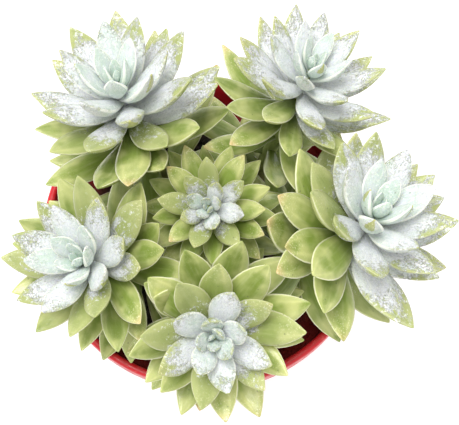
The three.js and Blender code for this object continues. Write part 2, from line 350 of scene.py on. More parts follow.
def clear_of_pot(beads):
    outward = np.hypot(beads[:, 0], beads[:, 1]) + beads[:, 3] + CLEARANCE
    lowest = beads[:, 2] - beads[:, 3] - CLEARANCE
    over_soil = lowest > SOIL_TOP + SOIL_CROWN + SOIL_LUMP
    return np.all(over_soil & ((lowest > POT_HEIGHT) | (outward < pot_inner_radius(lowest))))


def clear_of_beads(beads, others):
    apart = np.linalg.norm(beads[:, None, :3] - others[None, :, :3], axis=2)
    return np.all(apart > beads[:, None, 3] + others[None, :, 3] + CLEARANCE)


# The first dodge that brings a leaf clear of the pot and of every other plant, or none
def bent_clear(plan, others):
    for shortening in SHORTENINGS:
        for dodge in DODGES:
            leaf = Leaf(plan, dodge, shortening)
            beads = leaf.beads()
            if clear_of_pot(beads) and clear_of_beads(beads, others):
                return leaf
    return None


# Leaves are placed from the youngest down, one on each plant in turn, so the old ones make room
def grow_plants():
    grown = []
    for plant in PLANTS:
        stem = Stem(plant)
        shares = np.linspace(0, 1, STEM_BEADS)
        beads = np.column_stack([stem.point(shares), stem_radius(shares)])
        draws = seeded_draws(plant["seed"])
        grown.append(dict(plant=plant, stem=stem, draws=draws, leaves=[], beads=beads))
    for count in range(max(plant["leaves"] for plant in PLANTS)):
        for one in grown:
            if count >= one["plant"]["leaves"]:
                continue
            plan = leaf_plan(one["plant"], one["stem"], count, one["draws"])
            others = np.concatenate([other["beads"] for other in grown if other is not one])
            leaf = bent_clear(plan, others) if plan["share"] >= 0 else None
            if leaf:
                one["leaves"].append(leaf)
                one["beads"] = np.concatenate([one["beads"], leaf.beads()])
    return grown


# Modelling by hand: an object is picked out and opened for editing, and its points, edges or faces are
# picked by their place
def deselect_all():
    bpy.ops.object.select_all(action="DESELECT")


def pick_out(piece):
    deselect_all()
    piece.select_set(True)
    bpy.context.view_layer.objects.active = piece


def start_editing(piece):
    pick_out(piece)
    bpy.ops.object.mode_set(mode="EDIT")


def stop_editing():
    bpy.ops.object.mode_set(mode="OBJECT")


def pick_points(piece, wanted):
    bpy.ops.mesh.select_mode(type="VERT")
    shape = bmesh.from_edit_mesh(piece.data)
    for vert in shape.verts:
        vert.select_set(wanted(vert.co))
    shape.select_flush(True)
    shape.select_flush(False)
    bmesh.update_edit_mesh(piece.data)


def pick_edges(piece, wanted):
    bpy.ops.mesh.select_mode(type="EDGE")
    shape = bmesh.from_edit_mesh(piece.data)
    for edge in shape.edges:
        ends = [vert.co for vert in edge.verts]
        edge.select_set(wanted(*ends))
    bmesh.update_edit_mesh(piece.data)


def pick_faces(piece, wanted):
    bpy.ops.mesh.select_mode(type="FACE")
    shape = bmesh.from_edit_mesh(piece.data)
    for face in shape.faces:
        face.select_set(wanted(face.calc_center_median(), face.normal))
    bmesh.update_edit_mesh(piece.data)


def extrude(move):
    bpy.ops.mesh.extrude_region_move(TRANSFORM_OT_translate={"value": move})


def resize(factors, centre):
    bpy.ops.transform.resize(value=factors, center_override=centre)


def tidy_normals():
    bpy.ops.mesh.select_all(action="SELECT")
    bpy.ops.mesh.remove_doubles(threshold=1e-6)
    bpy.ops.mesh.normals_make_consistent(inside=False)


def apply_modifier(piece, kind, **settings):
    pick_out(piece)
    bpy.ops.object.modifier_add(type=kind)
    modifier = piece.modifiers[-1]
    for name, value in settings.items():
        setattr(modifier, name, value)
    bpy.ops.object.modifier_apply(modifier=modifier.name)


def place_in_mesh(piece):
    pick_out(piece)
    bpy.ops.object.transform_apply(location=True, rotation=True, scale=True)


def newest(name):
    piece = bpy.context.object
    piece.name = name
    piece.data.name = name
    return piece


def copy_with_own_mesh(piece):
    twin = piece.copy()
    twin.data = piece.data.copy()
    bpy.context.scene.collection.objects.link(twin)
    return twin


def join_into(piece, others):
    pick_out(piece)
    for other in others:
        other.select_set(True)
    bpy.ops.object.join()


def mesh_points(mesh):
    points = np.empty(len(mesh.vertices) * 3)
    mesh.vertices.foreach_get("co", points)
    return points.reshape(-1, 3)


def set_mesh_points(mesh, points):
    mesh.vertices.foreach_set("co", np.asarray(points, np.float32).ravel())
    mesh.update()


def set_point_vectors(mesh, name, rows):
    layer = mesh.attributes.new(name, "FLOAT_VECTOR", "POINT")
    layer.data.foreach_set("vector", np.asarray(rows, np.float32).ravel())


# Finishes are drawn with shader nodes. A socket takes a number, a colour or another node's output.
class Finish:
    def __init__(self, name):
        self.material = bpy.data.materials.new(name)
        self.material.use_nodes = True
        self.tree = self.material.node_tree
        self.shader = self.tree.nodes["Principled BSDF"]

    def put(self, socket, value):
        if isinstance(value, bpy.types.NodeSocket):
            self.tree.links.new(value, socket)
        elif isinstance(value, tuple) and len(value) == 3 and socket.type == "RGBA":
            socket.default_value = (*value, 1)
        else:
            socket.default_value = value

    def node(self, kind, settings=(), **inputs):
        made = self.tree.nodes.new(kind)
        for name, value in dict(settings).items():
            setattr(made, name, value)
        for name, value in inputs.items():
            self.put(made.inputs[name.replace("_", " ")], value)
        return made

    def surface(self, **inputs):
        for name, value in inputs.items():
            self.put(self.shader.inputs[name.replace("_", " ")], value)

    def math(self, operation, *values):
        made = self.tree.nodes.new("ShaderNodeMath")
        made.operation = operation
        for socket, value in zip(made.inputs, values):
            self.put(socket, value)
        return made.outputs[0]

    def add(self, *values):
        total = values[0]
        for value in values[1:]:
            total = self.math("ADD", total, value)
        return total

    def times(self, *values):
        product = values[0]
        for value in values[1:]:
            product = self.math("MULTIPLY", product, value)
        return product

    def minus(self, a, b):
        return self.math("SUBTRACT", a, b)

    def larger(self, a, b):
        return self.math("MAXIMUM", a, b)

    def ease(self, value, low, high, start=0.0, end=1.0):
        """Start below low and end above high, and smoothly from one to the other between them."""
        made = self.node("ShaderNodeMapRange", {"interpolation_type": "SMOOTHSTEP"}, Value=value)
        for name, number in (("From Min", low), ("From Max", high), ("To Min", start), ("To Max", end)):
            made.inputs[name].default_value = number
        return made.outputs[0]

    def line(self, value, middle, half_width, fade, strength):
        """A line where the value is close to its middle."""
        return self.ease(self.math("ABSOLUTE", self.minus(value, middle)), half_width, fade, strength, 0)

    def blend(self, factor, a, b):
        made = self.node("ShaderNodeMix", {"data_type": "RGBA"})
        self.put(made.inputs[0], factor)
        self.put(made.inputs[6], a)
        self.put(made.inputs[7], b)
        return made.outputs[2]

    def noise(self, place, scale, detail=2.0, roughness=0.5, distortion=0.0):
        made = self.node("ShaderNodeTexNoise", Vector=place, Scale=scale, Detail=detail,
                         Roughness=roughness, Distortion=distortion)
        return made.outputs[0]

    def cells(self, place, scale):
        return self.node("ShaderNodeTexVoronoi", Vector=place, Scale=scale).outputs["Distance"]

    def stretch(self, place, factors):
        made = self.node("ShaderNodeMapping", Vector=place)
        made.inputs["Scale"].default_value = factors
        return made.outputs[0]

    def object_place(self):
        return self.tree.nodes.new("ShaderNodeTexCoord").outputs["Object"]

    def attribute(self, name):
        return self.node("ShaderNodeAttribute", {"attribute_name": name}).outputs["Vector"]

    def parts(self, vector):
        return self.node("ShaderNodeSeparateXYZ", Vector=vector).outputs[:]

    def reach(self, place):
        """How far a point lies from the pot's axis."""
        x, y, _ = self.parts(place)
        return self.math("SQRT", self.add(self.times(x, x), self.times(y, y)))

    def bump(self, height, distance, strength):
        return self.node("ShaderNodeBump", Height=height, Distance=distance, Strength=strength).outputs[0]


# A screen colour, 0 to 255 a channel, as the light that a surface gives back
def tint(red, green, blue):
    def linear(channel):
        share = channel / 255
        return share / 12.92 if share <= 0.04045 else ((share + 0.055) / 1.055) ** 2.4
    return (linear(red), linear(green), linear(blue))


# Colours of the leaves' skin
SKIN_GREEN = tint(136, 156, 72)
SKIN_CREAM = tint(220, 221, 154)
OLD_GREEN = tint(106, 122, 60)
OLD_CREAM = tint(180, 186, 122)
# Painted shade just inside the margin
SKIN_MARGIN_PAINTED_SHADE = tint(142, 158, 80)
# Partly the margin's own pale colour, partly a painted highlight
SKIN_RIM_AND_PAINTED_HIGHLIGHT = tint(238, 239, 204)
SKIN_VEIN = tint(220, 226, 172)
SKIN_UNDER_POWDER = tint(166, 173, 116)
SKIN_BLUSH = tint(226, 178, 138)
SKIN_FRECKLE = tint(238, 236, 196)
# Painted shade at the leaf's base
SKIN_BASE_PAINTED_SHADE = tint(92, 108, 48)
DARK_SPECK = tint(110, 116, 84)

# Colours of the powder on them
FILM_MINT = tint(188, 203, 176)
FILM_GREY = tint(202, 206, 192)
POWDER_MINT = tint(194, 212, 201)
POWDER_LAVENDER = tint(220, 223, 229)
# Painted shade at the leaf's base
POWDER_BASE_PAINTED_SHADE = tint(180, 196, 168)
POWDER_STREAK = tint(240, 241, 241)
POWDER_SHADE = tint(184, 192, 184)
# Painted shade just inside the margin
POWDER_MARGIN_PAINTED_SHADE = tint(184, 198, 184)
# Partly the margin's own pale colour, partly a painted highlight
POWDER_RIM_AND_PAINTED_HIGHLIGHT = tint(246, 249, 240)
POWDER_PIT = tint(172, 180, 144)
POWDER_FLAKE = tint(232, 236, 232)
PALE_SAND = tint(250, 250, 244)
DARK_SAND = tint(120, 132, 110)
CRINKLE_RIDGE = tint(248, 249, 247)
# Painted shade in the crinkles' creases
CRINKLE_CREASE_PAINTED_SHADE = tint(140, 148, 116)


class LeafReadings:
    """What a leaf's looks are drawn from: a point's place on it, the leaf's own state and some patterns."""

    def __init__(self, finish):
        across, self.along, self.face = finish.parts(finish.attribute("leaf_place"))
        self.powder, self.age, self.draw = finish.parts(finish.attribute("leaf_state"))
        self.grain = finish.attribute("leaf_grain")
        self.edge = finish.math("ABSOLUTE", across)
        self.broad = finish.noise(self.grain, 0.14, 2)
        self.patch = finish.noise(finish.stretch(self.grain, (1, 0.4, 1)), 0.55, 5, 0.66, 0.4)
        self.speckle = finish.noise(self.grain, 1.9, 2, 0.55)
        self.veins = finish.noise(finish.stretch(self.grain, (1, 0.1, 1)), 0.9, 3)
        # A pale line along the margin, wider on young leaves: partly the leaf's own pale edge, partly a
        # painted highlight
        wider_when_young = finish.add(self.edge, finish.ease(self.age, 0, 0.28, 0.075, 0))
        self.pale_rim_and_highlight = finish.times(
            finish.ease(wider_when_young, 0.91, 0.965), finish.ease(self.along, 0.1, 0.5, 0.3, 1))
        # Painted shade: a band just inside the margin line, darkest close to it
        self.painted_margin_shade = finish.times(
            finish.ease(self.edge, 0.5, 0.86), finish.ease(self.edge, 0.88, 0.95, 1, 0))
        self.roughly = finish.larger(
            finish.ease(self.age, 0.04, 0.3, 0.2, 1), finish.ease(self.powder, 0.7, 1, 1, 0.2))


def leaf_skin(finish, leaf):
    """Soft green in the middle, creamy yellow to the margins and the tip, with painted shade just inside
    the margin and at the base, and a pale margin line that is partly a painted highlight.
    """
    yellowing = finish.add(
        finish.times(finish.ease(leaf.edge, 0.25, 1), 0.45),
        finish.times(finish.ease(leaf.along, 0.25, 1), 0.45),
        finish.ease(leaf.broad, 0.3, 0.7, -0.3, 0.3),
    )
    yellowing = finish.ease(yellowing, 0, 1)
    fresh = finish.blend(yellowing, SKIN_GREEN, SKIN_CREAM)
    old = finish.blend(yellowing, OLD_GREEN, OLD_CREAM)
    dull = finish.larger(finish.ease(leaf.age, 0.6, 1, 0, 0.85), finish.ease(leaf.draw, 0, 0.3, 0.6, 0))
    skin = finish.blend(dull, fresh, old)
    # Painted shade just inside the margin
    skin = finish.blend(finish.times(leaf.painted_margin_shade, 0.5), skin, SKIN_MARGIN_PAINTED_SHADE)
    # The pale margin line, partly a painted highlight
    skin = finish.blend(finish.times(leaf.pale_rim_and_highlight, 0.85), skin, SKIN_RIM_AND_PAINTED_HIGHLIGHT)
    skin = finish.blend(finish.ease(leaf.veins, 0.45, 0.75, 0, 0.16), skin, SKIN_VEIN)
    skin = finish.blend(finish.ease(leaf.powder, 0, 0.5, 0, 0.7), skin, SKIN_UNDER_POWDER)
    blush = finish.times(
        finish.ease(leaf.along, 0.84, 1), finish.ease(leaf.draw, 0.45, 0.95),
        finish.ease(leaf.powder, 0, 0.3, 1, 0.2), 0.55)
    skin = finish.blend(blush, skin, SKIN_BLUSH)
    freckles = finish.times(
        finish.ease(leaf.along, 0.55, 0.95), finish.ease(leaf.speckle, 0.56, 0.66),
        finish.ease(leaf.draw, 0.3, 0.8, 0.1, 0.6))
    skin = finish.blend(freckles, skin, SKIN_FRECKLE)
    # Painted shade: the skin darkens towards the leaf's base, where the leaves crowd in over each other
    return finish.blend(finish.ease(leaf.along, 0, 0.48, 0.75, 0), skin, SKIN_BASE_PAINTED_SHADE)


def powder_left(finish, leaf):
    """The powder that a leaf holds, less what is worn off its tip and margins or rubbed off beneath."""
    worn_tip = finish.ease(leaf.along, 0.38, 0.95, 0, 1.15)
    worn_rim = finish.ease(leaf.edge, 0.62, 1, 0, 0.5)
    breaks = finish.add(
        finish.times(finish.minus(leaf.broad, 0.5), 1.8),
        finish.times(finish.minus(leaf.patch, 0.5), 2.6),
    )
    wear = finish.times(leaf.roughly, finish.minus(finish.add(worn_tip, worn_rim), breaks))
    under_tip = finish.times(finish.ease(leaf.face, -0.4, 0.4, 1, 0), finish.ease(leaf.along, 0.6, 0.78))
    rubbed = finish.times(
        under_tip,
        finish.ease(finish.add(leaf.edge, finish.times(leaf.patch, 0.5)), 0.5, 0.9, 1, 0),
        finish.ease(leaf.draw, 0.4, 0.6),
        finish.ease(leaf.age, 0.03, 0.08, 0, 2))
    return finish.minus(finish.ease(leaf.powder, 0, 1, -0.6, 1.3), finish.add(wear, rubbed))


def powder_shade(finish, leaf):
    """How far the powder has turned from the mint of the youngest leaves to the lavender of the rest."""
    turned = finish.add(
        finish.times(leaf.age, 4.2),
        finish.ease(leaf.broad, 0.3, 0.7, -0.35, 0.35),
        finish.ease(leaf.powder, 1, 0.6, 0, 0.6),
    )
    return finish.ease(turned, 0.1, 0.95)


def thick_powder(finish, leaf, shade, brushed):
    """The white crust: streaked lengthways, dusty in specks, with painted shade at the base and just inside
    the margin, and whitest along the margin line, which is partly a painted highlight.
    """
    powder = finish.blend(shade, POWDER_MINT, POWDER_LAVENDER)
    # Painted shade: the powder darkens a little towards the leaf's base
    powder = finish.blend(finish.ease(leaf.along, 0, 0.3, 0.22, 0), powder, POWDER_BASE_PAINTED_SHADE)
    powder = finish.blend(brushed, powder, POWDER_STREAK)
    dusty = finish.times(
        finish.ease(leaf.speckle, 0.5, 0.36), finish.ease(leaf.roughly, 0.2, 1, 0.1, 0.42))
    powder = finish.blend(dusty, powder, POWDER_SHADE)
    # Painted shade just inside the margin
    powder = finish.blend(finish.times(leaf.painted_margin_shade, 0.4), powder, POWDER_MARGIN_PAINTED_SHADE)
    # The pale margin line, partly a painted highlight
    return finish.blend(finish.times(leaf.pale_rim_and_highlight, 0.95), powder, POWDER_RIM_AND_PAINTED_HIGHLIGHT)


def powder_pits(finish, leaf, left, film):
    """Small pits in the powder, deeper where little of it is left."""
    crumbs = finish.noise(leaf.grain, 1.3, 4, 0.7)
    return finish.times(
        finish.ease(crumbs, 0.57, 0.65), leaf.roughly, finish.ease(left, 0.2, 1.2, 0.8, 0), film)


def powder_flakes(finish, leaf, left):
    """Flakes of powder left on the bare skin around it."""
    flecks = finish.noise(leaf.grain, 0.8, 5, 0.75)
    return finish.times(
        finish.ease(flecks, 0.56, 0.61), finish.ease(left, -0.7, 0, 0, 0.95),
        finish.ease(leaf.powder, 0.1, 0.4))


def powder_crinkles(finish, leaf, cover):
    """Crinkles in the crust towards the tips: white ridges, and beside each a thin crease, darkened with
    painted shade.
    """
    curls = finish.noise(leaf.grain, 0.42, 2, 0.5, 0.6)
    crinkled = finish.times(cover, leaf.roughly, finish.ease(leaf.along, 0.45, 0.8))
    ridges = finish.times(crinkled, finish.line(curls, 0.53, 0.01, 0.03, 0.9))
    crease_relief_and_shade = finish.times(crinkled, finish.line(curls, 0.5, 0.004, 0.018, 0.45))
    return ridges, crease_relief_and_shade


def sanded(finish, leaf, cover, colour):
    """The colour with a pale and a dark sandy grain in it, where powder covers the leaf."""
    sand = finish.noise(leaf.grain, 3.4, 2, 0.6)
    pale = finish.times(cover, finish.ease(sand, 0.5, 0.7, 0, 0.25))
    dark = finish.times(cover, finish.ease(sand, 0.5, 0.32, 0, 0.12))
    return finish.blend(dark, finish.blend(pale, colour, PALE_SAND), DARK_SAND)


def leaf_finish():
    """Smooth green skin under a white powder that is thick on young leaves and rubs off in flakes."""
    finish = Finish("powdered_leaf")
    leaf = LeafReadings(finish)

    # The powder is a thin film, and on it a crust that breaks up as it wears
    left = powder_left(finish, leaf)
    film = finish.ease(left, -0.1, 0.55, 0, 0.9)
    grit = finish.times(finish.minus(leaf.speckle, 0.5), leaf.roughly, 2.2)
    crust = finish.ease(finish.add(left, grit), 0.3, 0.48)
    cover = finish.larger(film, crust)
    streaks = finish.noise(finish.stretch(leaf.grain, (1, 0.22, 1)), 1.9, 3, 0.6)
    brushed = finish.times(finish.ease(streaks, 0.4, 0.66), finish.ease(leaf.roughly, 0.2, 1, 0.25, 0.8))
    pits = powder_pits(finish, leaf, left, film)
    ridges, crease_relief_and_shade = powder_crinkles(finish, leaf, cover)
    specks = finish.ease(finish.cells(leaf.grain, 0.3), 0.05, 0.11, 1, 0)

    shade = powder_shade(finish, leaf)
    colour = finish.blend(film, leaf_skin(finish, leaf), finish.blend(shade, FILM_MINT, FILM_GREY))
    colour = finish.blend(crust, colour, thick_powder(finish, leaf, shade, brushed))
    colour = finish.blend(pits, colour, POWDER_PIT)
    colour = finish.blend(powder_flakes(finish, leaf, left), colour, POWDER_FLAKE)
    colour = sanded(finish, leaf, cover, colour)
    colour = finish.blend(ridges, colour, CRINKLE_RIDGE)
    # Painted shade in the creases
    colour = finish.blend(crease_relief_and_shade, colour, CRINKLE_CREASE_PAINTED_SHADE)
    colour = finish.blend(finish.times(specks, 0.5), colour, DARK_SPECK)
    height = finish.add(
        finish.times(crust, 0.5),
        finish.times(brushed, cover, 0.3),
        finish.times(pits, -0.4),
        finish.times(ridges, 0.4),
        finish.times(crease_relief_and_shade, -0.4),
        finish.times(leaf.roughly, leaf.patch, 0.5),
        finish.times(leaf.veins, 0.1),
    )
    finish.surface(
        Base_Color=colour,
        Roughness=finish.blend(cover, (SKIN_ROUGHNESS,) * 3, (POWDER_ROUGHNESS,) * 3),
        Normal=finish.bump(height, 0.0005, 1),
        Subsurface_Weight=0.12,
        Subsurface_Scale=0.002,
    )
    finish.shader.inputs["Subsurface Radius"].default_value = (0.8, 1.0, 0.3)
    return finish.material


def stem_finish():
    """Green above, brown and corky below."""
    finish = Finish("stem_skin")
    place = finish.object_place()
    _, _, height = finish.parts(place)
    mottle = finish.noise(place, 500, 4, 0.6)
    uneven = finish.add(height, finish.times(mottle, 0.02))
    corky = finish.ease(uneven, CORKY_BELOW * MM, GREEN_ABOVE * MM, 1, 0)
    green = finish.blend(mottle, tint(120, 138, 70), tint(168, 178, 112))
    brown = finish.blend(mottle, tint(96, 72, 52), tint(158, 128, 100))
    finish.surface(
        Base_Color=finish.blend(corky, green, brown),
        Roughness=finish.ease(mottle, 0.3, 0.7, 0.5, 0.8),
        Normal=finish.bump(mottle, 0.0004, 0.7),
    )
    return finish.material


def model_leaf():
    """One leaf along +Y, one long and one wide: flat above, keeled below, with a thin margin."""
    bpy.ops.mesh.primitive_circle_add(
        vertices=LEAF_SIDES, radius=0.5, fill_type="NGON",
        location=(0, LEAF_FOOT, 0), rotation=(pi / 2, 0, 0))
    leaf = newest("leaf")
    place_in_mesh(leaf)
    start_editing(leaf)
    bpy.ops.mesh.select_all(action="SELECT")
    resize((2 * half_width(0), 1, 2 * SMOOTHING_ALLOWANCE * thickness(0)), (0, LEAF_FOOT, 0))
    pick_points(leaf, lambda co: co.z > SAME_PLACE)
    resize((1, 1, UPPER_SHARE), (0, LEAF_FOOT, 0))
    pick_points(leaf, lambda co: co.z < -SAME_PLACE)
    resize((1, 1, 1 - UPPER_SHARE), (0, LEAF_FOOT, 0))
    pick_faces(leaf, lambda centre, normal: True)
    here = LEAF_FOOT
    was = 0
    for share in LEAF_RINGS:
        extrude((0, share - here, 0))
        resize((half_width(share) / half_width(was), 1, thickness(share) / thickness(was)), (0, share, 0))
        here = was = share
    extrude((0, LEAF_POINT - here, 0))
    bpy.ops.mesh.merge(type="CENTER")
    tidy_normals()
    pick_points(leaf, lambda co: abs(co.x) < 0.02 and co.z > 0.01 and 0.05 < co.y < 0.9)
    bpy.ops.transform.translate(value=(0, 0, -UPPER_HOLLOW))

    def on_margin(a, b):
        level = abs(a.z) + abs(b.z) < SAME_PLACE
        return level and abs(a.y - b.y) > SAME_PLACE and abs(a.x) > 0.01

    def on_keel(a, b):
        central = abs(a.x) + abs(b.x) < SAME_PLACE
        return central and abs(a.y - b.y) > SAME_PLACE and a.z < -0.01

    pick_edges(leaf, on_margin)
    bpy.ops.transform.edge_crease(value=MARGIN_CREASE)
    pick_edges(leaf, on_keel)
    bpy.ops.transform.edge_crease(value=KEEL_CREASE)
    stop_editing()
    return leaf


# How much powder a leaf holds, from 0 to 1: the youngest are white, and more last on the sheltered side
def powder_on(leaf, plant, draw):
    side = radians(plant["powder_side"])
    facing = leaf.outward[0] * cos(side) + leaf.outward[1] * sin(side)
    lasting = plant["powdered"] + plant["more_powder"] * facing + POWDER_SCATTER * draw
    return plant["densest"] * float(np.clip((lasting - leaf.plan["count"]) / POWDER_FADE + 0.5, 0, 1))


def grown_leaf(master, leaf, plant, number, chance):
    """A copy of the leaf, bent to its place, with a little twist, swing and wave of its own.

    leaf_place holds a point's place across and along the leaf, and 1 above or -1 below. leaf_state holds
    the leaf's powder, its age and a draw. leaf_grain is the point's place in the pattern of the grain.
    """
    piece = copy_with_own_mesh(master)
    local = mesh_points(master.data)
    across, share, raised = local.T
    # The very tip has no width, so shares stop just short of it
    inside = np.clip(share, 0, 0.999)
    twist = chance.uniform(-LEAF_TWIST, LEAF_TWIST) * share
    sideways = across * np.cos(twist) - raised * np.sin(twist)
    lifted = across * np.sin(twist) + raised * np.cos(twist)
    swing = chance.uniform(-LEAF_SWING, LEAF_SWING) * leaf.length * np.sin(pi * inside)
    wave = chance.uniform(-LEAF_WAVE, LEAF_WAVE) * np.sin(2 * pi * share + chance.uniform(0, 6))
    wave *= np.abs(across)
    depth = (lifted + wave) * leaf.width * leaf.plan["plumpness"]
    points = leaf.points(share, sideways * leaf.width + swing, depth)
    set_mesh_points(piece.data, points * MM)
    margin = np.clip(across / half_width(inside), -1, 1)
    set_point_vectors(piece.data, "leaf_place", np.column_stack([margin, inside, np.sign(raised)]))
    shift = [GRAIN_SHIFT * number, GRAIN_ROW_SHIFT * (number % GRAIN_ROWS), 0]
    grain = local * [leaf.width, leaf.length, leaf.width] + shift
    set_point_vectors(piece.data, "leaf_grain", grain)
    age = leaf.plan["count"] / FULL_AGE
    state = (powder_on(leaf, plant, chance.uniform(-1, 1)), age, chance.random())
    set_point_vectors(piece.data, "leaf_state", np.tile(state, (len(local), 1)))
    return piece


def make_stem(plant, stem, finish):
    """A round stem from the roots up, thinner to its tip."""
    name = "plant_" + plant["name"]
    deselect_all()
    bpy.ops.curve.primitive_bezier_curve_add()
    curve = newest(name).data
    curve.dimensions = "3D"
    curve.bevel_depth = MM
    curve.bevel_resolution = 3
    curve.use_fill_caps = True
    curve.resolution_u = 12
    spline = curve.splines[0]
    spline.bezier_points.add(1)
    root, root_pull, tip_pull, tip = (Vector(knot) * MM for knot in stem.knots)
    foot = Vector((root.x, root.y, (SOIL_TOP - ROOT_DEPTH) * MM))
    beyond = tip + (tip - tip_pull).normalized() * STEM_TIP_RADIUS * MM
    halfway = (foot + root) / 2
    places = [(foot, foot, halfway), (root, halfway, root_pull), (beyond, tip_pull, tip)]
    radii = [STEM_ROOT_RADIUS, STEM_ROOT_RADIUS, STEM_TIP_RADIUS]
    for point, (place, before, after), radius in zip(spline.bezier_points, places, radii):
        point.handle_left_type = "FREE"
        point.handle_right_type = "FREE"
        point.co = place
        point.handle_left = before
        point.handle_right = after
        point.radius = radius
    bpy.ops.object.convert(target="MESH")
    piece = newest(name)
    piece.data.materials.append(finish)
    place_in_mesh(piece)
    start_editing(piece)
    tidy_normals()
    stop_editing()
    bpy.ops.object.shade_smooth()
    return piece


def make_plants():
    powdered = leaf_finish()
    stem_skin = stem_finish()
    master = model_leaf()
    master.data.materials.append(powdered)
    number = 0
    for one in grow_plants():
        plant = one["plant"]
        chance = Random(plant["seed"])
        piece = make_stem(plant, one["stem"], stem_skin)
        copies = []
        for leaf in one["leaves"]:
            number += 1
            copies.append(grown_leaf(master, leaf, plant, number, chance))
        join_into(piece, copies)
        apply_modifier(piece, "SUBSURF", levels=1, render_levels=1)
        bpy.ops.object.shade_smooth()
        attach(piece, "root")
        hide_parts("leafy_stem_" + plant["name"])
    bpy.data.objects.remove(master)


def pot_finish():
    """Thin moulded plastic, glossy red, scuffed and dusty, and darkened inside with painted shade, most
    near the soil.
    """
    finish = Finish("red_moulded_plastic")
    place = finish.object_place()
    mottle = finish.noise(place, 60, 3)
    dust = finish.noise(place, 380, 5, 0.65)
    scratches = finish.noise(finish.stretch(place, (1, 1, 9)), 420, 3, 0.6)
    red = finish.blend(finish.ease(mottle, 0.3, 0.7), tint(196, 18, 30), tint(212, 28, 40))
    scuffed = finish.ease(scratches, 0.6, 0.72, 0, 0.35)
    red = finish.blend(scuffed, red, tint(240, 120, 124))
    red = finish.blend(finish.ease(dust, 0.55, 0.8, 0, 0.3), red, tint(206, 180, 160))
    _, _, z = finish.parts(place)
    slope = pot_inner_radius(1) - pot_inner_radius(0)
    inner_foot = pot_inner_radius(0) * MM
    from_foot = finish.minus(finish.reach(place), finish.times(z, slope))
    within = finish.ease(from_foot, inner_foot - 0.2 * MM, inner_foot + 0.4 * MM, 1, 0)
    above_soil = finish.add(z, finish.times(dust, 0.012))
    # Painted shade: the inside of the wall is darkened a little all the way up, and most towards the soil
    painted_inner_shade = finish.ease(above_soil, (SOIL_TOP + 4) * MM, (SOIL_TOP + 18) * MM, 1, 0.25)
    red = finish.blend(finish.times(within, painted_inner_shade), red, tint(116, 12, 18))
    finish.surface(
        Base_Color=red,
        Roughness=finish.ease(dust, 0.35, 0.75, 0.28, 0.6),
        Normal=finish.bump(finish.add(scuffed, finish.times(mottle, 0.5)), 0.0001, 0.6),
        Subsurface_Weight=0.05,
        Subsurface_Scale=0.002,
    )
    return finish.material


def round_off(pot, height, radius, offset, segments):
    """Round the edge that runs round the pot at this height and radius."""
    def on_ring(*ends):
        return all(abs(end.z / MM - height) < SAME_RING
                   and abs(hypot(end.x, end.y) / MM - radius) < SAME_RING for end in ends)
    pick_edges(pot, on_ring)
    bpy.ops.mesh.bevel(offset=offset * MM, segments=segments, affect="EDGES")


def draw_up_pot():
    """The pot, drawn up from its base like a cup: body, collar, lip, and down inside to the floor."""
    under_collar = pot_outer_radius(COLLAR_FOOT)
    bpy.ops.mesh.primitive_cone_add(
        vertices=POT_SIDES, radius1=BASE_RADIUS * MM, radius2=under_collar * MM,
        depth=COLLAR_FOOT * MM, location=(0, 0, COLLAR_FOOT / 2 * MM))
    pot = newest("red_pot")
    place_in_mesh(pot)
    start_editing(pot)
    pick_faces(pot, lambda centre, normal: normal.z > 0.9)
    height = COLLAR_FOOT
    radius = under_collar
    rings = [
        (COLLAR_FOOT, under_collar - COLLAR_UNDERCUT),
        (COLLAR_FOOT, COLLAR_RADIUS),
        (POT_HEIGHT, RIM_RADIUS),
        (POT_HEIGHT, LIP_INSIDE),
        (COLLAR_FOOT + INSIDE_STEP, LIP_INSIDE),
        (COLLAR_FOOT - INSIDE_STEP, pot_inner_radius(COLLAR_FOOT - INSIDE_STEP)),
        (FLOOR_THICKNESS, pot_inner_radius(FLOOR_THICKNESS)),
        (FLOOR_THICKNESS, DRAIN_CIRCLE_RADIUS + DRAIN_BAND),
        (FLOOR_THICKNESS, DRAIN_CIRCLE_RADIUS - DRAIN_BAND),
    ]
    for next_height, next_radius in rings:
        extrude((0, 0, (next_height - height) * MM))
        resize((next_radius / radius, next_radius / radius, 1), (0, 0, next_height * MM))
        height = next_height
        radius = next_radius
    tidy_normals()
    round_off(pot, POT_HEIGHT, RIM_RADIUS, LIP_ROUNDING, segments=5)
    round_off(pot, POT_HEIGHT, LIP_INSIDE, LIP_ROUNDING, segments=5)
    round_off(pot, 0, BASE_RADIUS, FOOT_ROUNDING, segments=4)
    round_off(pot, COLLAR_FOOT, COLLAR_RADIUS, COLLAR_ROUNDING, segments=2)
    stop_editing()
    return pot


def drill_pot(pot):
    """Drain holes in a circle through the floor."""
    bpy.ops.mesh.primitive_cylinder_add(
        vertices=DRAIN_SIDES, radius=DRAIN_RADIUS * MM, depth=4 * FLOOR_THICKNESS * MM,
        location=(DRAIN_CIRCLE_RADIUS * MM, 0, 0))
    drill = newest("drill")
    place_in_mesh(drill)
    copies = []
    for hole in range(1, DRAIN_HOLES):
        twin = copy_with_own_mesh(drill)
        twin.data.transform(Matrix.Rotation(2 * pi * hole / DRAIN_HOLES, 4, "Z"))
        copies.append(twin)
    join_into(drill, copies)
    apply_modifier(pot, "BOOLEAN", operation="DIFFERENCE", object=drill, solver="EXACT")
    bpy.data.objects.remove(drill)


def warp_pot(pot):
    """Push the pot a little out of round, most at its lip and nowhere beyond its true size."""
    points = mesh_points(pot.data)
    turn = np.arctan2(points[:, 1], points[:, 0])
    rise = np.clip(points[:, 2] / MM / POT_HEIGHT, 0, 1) ** 3
    warp = 1 + rise * (OVAL_WARP * np.cos(2 * turn + 0.7) + RIPPLE_WARP * np.cos(5 * turn + 2))
    points[:, :2] *= (warp / (1 + OVAL_WARP + RIPPLE_WARP))[:, None]
    set_mesh_points(pot.data, points)


